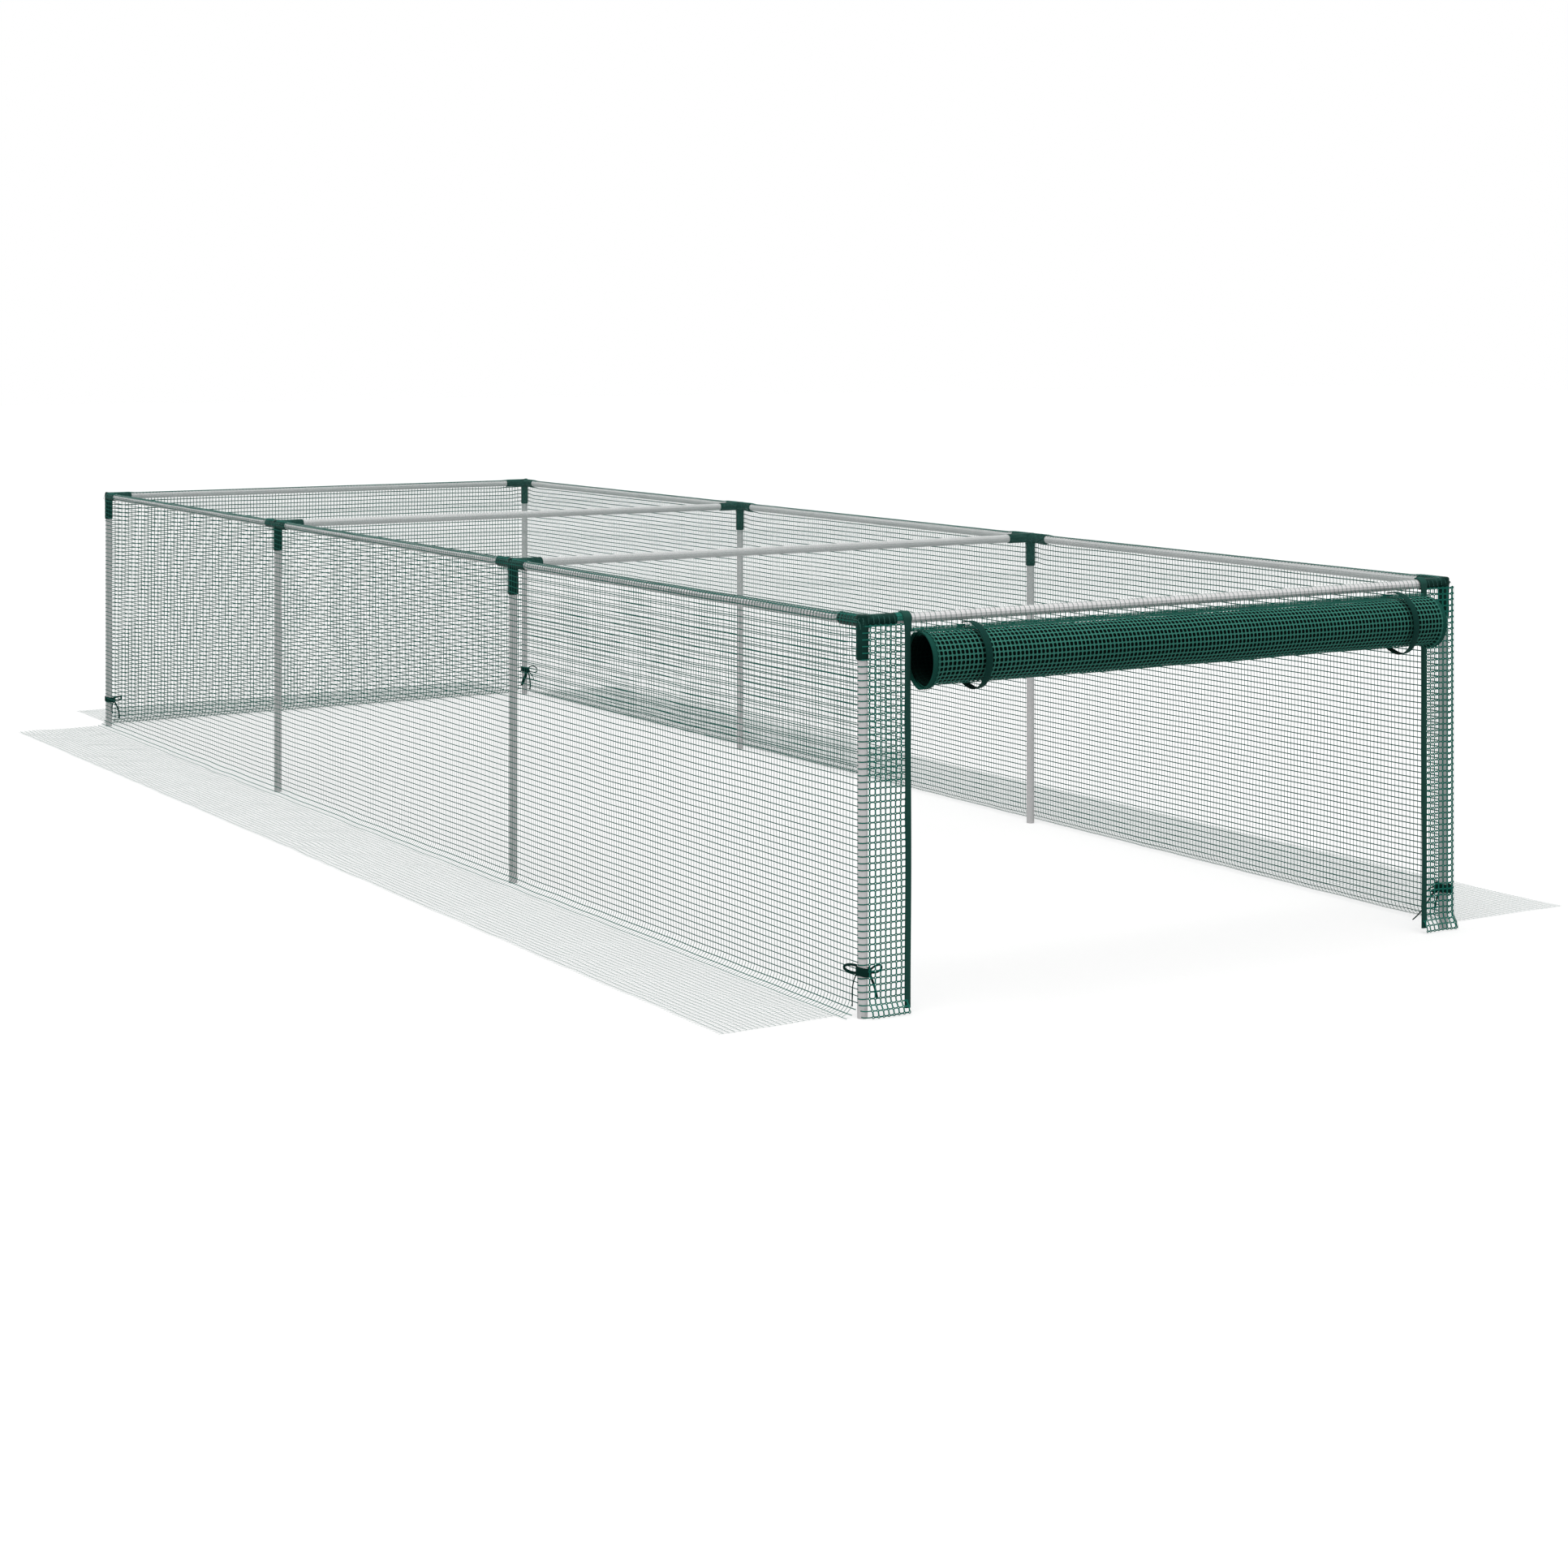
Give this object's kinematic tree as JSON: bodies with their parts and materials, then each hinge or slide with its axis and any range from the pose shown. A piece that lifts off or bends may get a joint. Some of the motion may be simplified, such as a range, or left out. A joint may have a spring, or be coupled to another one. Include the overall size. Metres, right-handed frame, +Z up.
{
  "type": "crop cage",
  "caption": "Low rectangular crop cage: tube frame in push-fit connectors, fitted net walls and roof with ground skirts, and a roll-up net door at one end.",
  "frame": {"origin": "on the ground, at the middle of the whole footprint with skirts and door roll", "axes": "+Z up, +Y along the cage from the door end to the back end, +X to the right as seen from the door end"},
  "size_m": [1.7206, 3.9512, 0.601],
  "materials": {
    "tube": "satin grey tube",
    "connector": "dark green moulded plastic",
    "net": "green knitted mesh",
    "door_net": "green knitted mesh, rolled",
    "binding": "dark green folded tape",
    "strap": "dark green webbing",
    "tie": "dark green tape tie"
  },
  "bodies": {
    "cage": {"post_left_1": "tube", "post_left_2": "tube", "post_left_3": "tube", "post_left_4": "tube", "post_right_1": "tube", "post_right_2": "tube", "post_right_3": "tube", "post_right_4": "tube", "rail_left_1": "tube", "rail_left_2": "tube", "rail_left_3": "tube", "rail_right_1": "tube", "rail_right_2": "tube", "rail_right_3": "tube", "cross_tube_1": "tube", "cross_tube_2": "tube", "cross_tube_3": "tube", "cross_tube_4": "tube", "connector_left_1": "connector", "connector_left_2": "connector", "connector_left_3": "connector", "connector_left_4": "connector", "connector_right_1": "connector", "connector_right_2": "connector", "connector_right_3": "connector", "connector_right_4": "connector", "roof_net": "net", "wall_net_left": "net", "wall_net_right": "net", "wall_net_back": "net", "return_net_left": "net", "return_net_right": "net", "front_flap_net": "net", "skirt_left": "net", "skirt_right": "net", "skirt_back": "net", "binding_left": "binding", "binding_right": "binding", "tie_front_left": "tie", "tie_front_right": "tie", "tie_back_left": "tie", "tie_back_right": "tie", "door_curtain": "door_net"},
    "door_carriage": {"door_loop_left": "strap", "door_loop_right": "strap"},
    "rolled_door": {"door_roll": "door_net", "door_edge_left": "binding", "door_edge_right": "binding"}
  },
  "joints": [
    {"name": "door_lower", "type": "slide", "parent": "cage", "child": "door_carriage", "axis": [0, 0, -1], "range_m": [0, 0.4785], "deforming": ["door_curtain"]},
    {"name": "door_turn", "type": "hinge", "parent": "door_carriage", "child": "rolled_door", "pos_m": [-0.0325, -1.92763, 0.5305], "axis": [1, 0, 0], "range_deg": [0, 720]}
  ],
  "couplings": [
    {"joint": "door_turn", "follows": "door_lower", "rad_per_m": 26.2}
  ]
}
